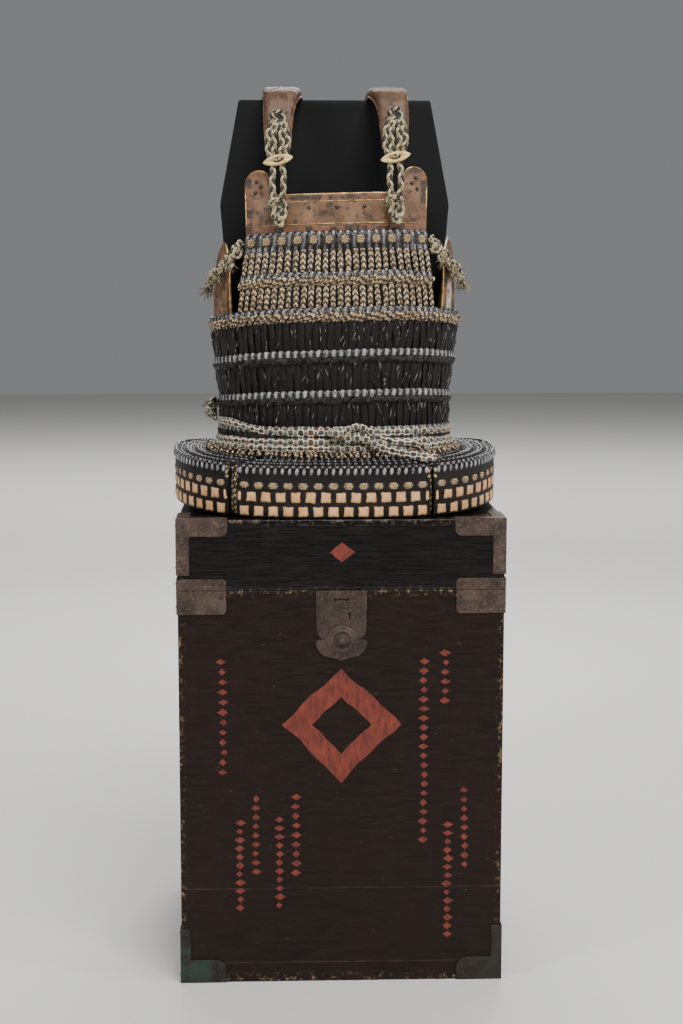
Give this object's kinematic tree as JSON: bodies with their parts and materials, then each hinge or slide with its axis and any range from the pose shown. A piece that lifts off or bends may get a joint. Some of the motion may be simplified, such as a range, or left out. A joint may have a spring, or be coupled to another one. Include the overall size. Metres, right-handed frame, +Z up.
{
  "type": "laced lamellar cuirass with skirt on its wooden armour box",
  "caption": "Laced lamellar samurai cuirass with leather straps, cloth belt and collapsed skirt, standing on its lacquered wooden armour box with iron corners.",
  "frame": {"origin": "middle of the box's underside, where it stands on the floor", "axes": "+Z up, the armour's front faces -Y, +X is to the right as seen from the front"},
  "size_m": [0.436, 0.4306, 1.1728],
  "materials": {
    "box_wood": "dark brown lacquered wood, worn pale along the rim",
    "lid_lacquer": "near-black lacquered wood with a horizontal grain, satin",
    "iron": "brown patinated wrought iron, matt",
    "pale_lacing": "speckled tan, ivory and dark braid laced over black scales",
    "dark_lacing": "dark blue-black silk braid laced over black scales",
    "leather": "smoked brown leather with faded stencilled patches",
    "braid": "round silk braid, cream and dark green",
    "bone": "pale bone, satin",
    "board_black": "matt black painted wood",
    "belt_cloth": "cream cloth printed with small grey-green and rust rings",
    "scale_lacquer": "black lacquer on iron and rawhide scales, glossy",
    "pale_leather": "pale tan leather over padding, matt",
    "gilt_rim": "thin gilt rim, worn"
  },
  "bodies": {
    "root": {"box_body": "box_wood", "box_lid": "lid_lacquer", "lock_plate": "iron", "lid_iron_front_left": "iron", "lid_iron_front_right": "iron", "lid_iron_back_right": "iron", "lid_iron_back_left": "iron", "lid_rim_iron_front_left": "iron", "lid_rim_iron_front_right": "iron", "lid_rim_iron_back_right": "iron", "lid_rim_iron_back_left": "iron", "rim_iron_front_left": "iron", "rim_iron_front_right": "iron", "rim_iron_back_right": "iron", "rim_iron_back_left": "iron", "foot_iron_front_left": "iron", "foot_iron_front_right": "iron", "foot_iron_back_right": "iron", "foot_iron_back_left": "iron", "chest_lame_1": "pale_lacing", "chest_lame_2": "pale_lacing", "back_lame_1": "pale_lacing", "back_lame_2": "pale_lacing", "back_lame_3": "pale_lacing", "waist_lame_1": "dark_lacing", "waist_lame_2": "dark_lacing", "waist_lame_3": "dark_lacing", "waist_lame_4": "dark_lacing", "breast_plate": "leather", "back_plate": "leather", "side_plate_left": "leather", "side_plate_right": "leather", "shoulder_strap_left": "leather", "shoulder_strap_right": "leather", "strap_cord_upper_left": "braid", "strap_cord_lower_left": "braid", "side_tie_left": "braid", "toggle_left": "bone", "strap_cord_upper_right": "braid", "strap_cord_lower_right": "braid", "side_tie_right": "braid", "toggle_right": "bone", "support_board": "board_black", "tasset_hem_front": "dark_lacing", "tasset_stack_front": "dark_lacing", "tasset_hem_left_side": "dark_lacing", "tasset_stack_left_side": "dark_lacing", "tasset_hem_left_back": "dark_lacing", "tasset_stack_left_back": "dark_lacing", "tasset_hem_right_back": "dark_lacing", "tasset_stack_right_back": "dark_lacing", "tasset_hem_right_side": "dark_lacing", "tasset_stack_right_side": "dark_lacing", "hanging_lace": "pale_lacing", "belt_turn_upper": "belt_cloth", "belt_turn_middle": "belt_cloth", "belt_turn_lower": "belt_cloth", "belt_knot": "belt_cloth", "belt_bow": "belt_cloth"}
  },
  "joints": []
}
